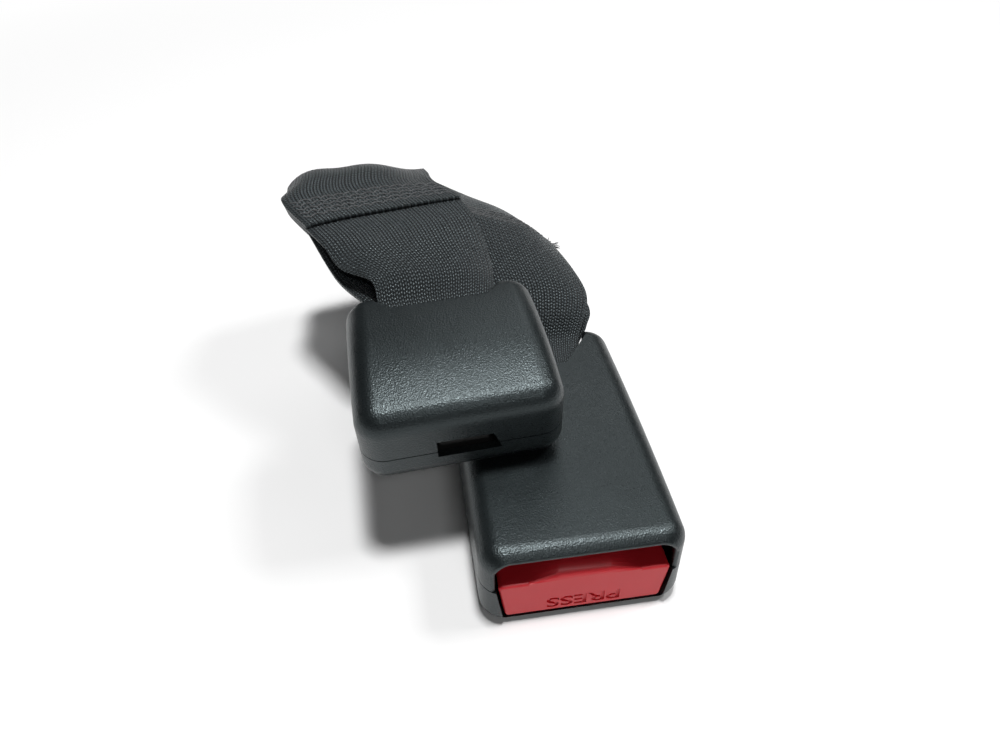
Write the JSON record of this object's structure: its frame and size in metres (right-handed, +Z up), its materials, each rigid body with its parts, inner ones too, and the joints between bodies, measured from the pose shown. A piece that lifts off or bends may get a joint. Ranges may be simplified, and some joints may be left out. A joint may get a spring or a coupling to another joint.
{
  "type": "seat belt buckle",
  "caption": "Red-button seat belt buckle and a short receptacle head joined by one folded, stitched strap of black webbing.",
  "frame": {"origin": "middle of the flat underside of the buckle with the button", "axes": "+X across the buckle, +Y from its tongue slot towards the webbing, +Z up from the surface it lies on"},
  "size_m": [0.0955, 0.1491, 0.0674],
  "materials": {
    "cover_black": "fine grained, slight sheen",
    "button_red": "satin",
    "inner_plastic": "matte",
    "zinc_steel": "bright zinc plated",
    "spring_steel": "oiled wire",
    "webbing_black": "ribbed woven polyester with a slight sheen"
  },
  "bodies": {
    "heads_and_strap": {"buckle_upper_cover": "cover_black", "buckle_lower_cover": "cover_black", "buckle_frame": "zinc_steel", "buckle_latch_pin": "zinc_steel", "buckle_latch_spring": "spring_steel", "button_springs": "spring_steel", "buckle_ejector_spring": "spring_steel", "receptacle_upper_cover": "cover_black", "receptacle_lower_cover": "cover_black", "receptacle_frame": "zinc_steel", "receptacle_latch_pin": "zinc_steel", "receptacle_latch_spring": "spring_steel", "slider_springs": "spring_steel", "receptacle_ejector_spring": "spring_steel", "webbing": "webbing_black"},
    "button": {"release_button": "button_red"},
    "buckle_latch_plate": {"buckle_latch": "zinc_steel"},
    "buckle_ejector_fork": {"buckle_ejector": "inner_plastic"},
    "slider": {"release_slider": "inner_plastic"},
    "receptacle_latch_plate": {"receptacle_latch": "zinc_steel"},
    "receptacle_ejector_fork": {"receptacle_ejector": "inner_plastic"}
  },
  "joints": [
    {"name": "button_press", "type": "slide", "parent": "heads_and_strap", "child": "button", "axis": [0, 1, 0], "range_m": [0, 0.007], "stiffness_N_per_m": 300, "springref_m": -0.004, "deforming": ["button_springs"]},
    {"name": "buckle_latch_turn", "type": "hinge", "parent": "heads_and_strap", "child": "buckle_latch_plate", "pos_m": [0, 0.0117, 0.01453], "axis": [1, 0, 0], "range_deg": [0, 10], "deforming": ["buckle_latch_spring"]},
    {"name": "buckle_ejector_slide", "type": "slide", "parent": "heads_and_strap", "child": "buckle_ejector_fork", "axis": [0, 1, 0], "range_m": [0, 0.007], "stiffness_N_per_m": 150, "springref_m": -0.004, "deforming": ["buckle_ejector_spring"]},
    {"name": "slider_press", "type": "slide", "parent": "heads_and_strap", "child": "slider", "axis": [-0.044, 0.9878, 0.1494], "range_m": [0, 0.004], "stiffness_N_per_m": 300, "springref_m": -0.004, "deforming": ["slider_springs"]},
    {"name": "receptacle_latch_turn", "type": "hinge", "parent": "heads_and_strap", "child": "receptacle_latch_plate", "pos_m": [-0.02634, 0.01627, 0.03823], "axis": [0.9985, 0.0384, 0.0401], "range_deg": [0, 14], "deforming": ["receptacle_latch_spring"]},
    {"name": "receptacle_ejector_slide", "type": "slide", "parent": "heads_and_strap", "child": "receptacle_ejector_fork", "axis": [-0.044, 0.9878, 0.1494], "range_m": [0, 0.005], "stiffness_N_per_m": 150, "springref_m": -0.004, "deforming": ["receptacle_ejector_spring"]}
  ],
  "couplings": [
    {"joint": "buckle_latch_turn", "follows": "button_press", "rad_per_m": 24.933},
    {"joint": "receptacle_latch_turn", "follows": "slider_press", "rad_per_m": 61.086}
  ]
}
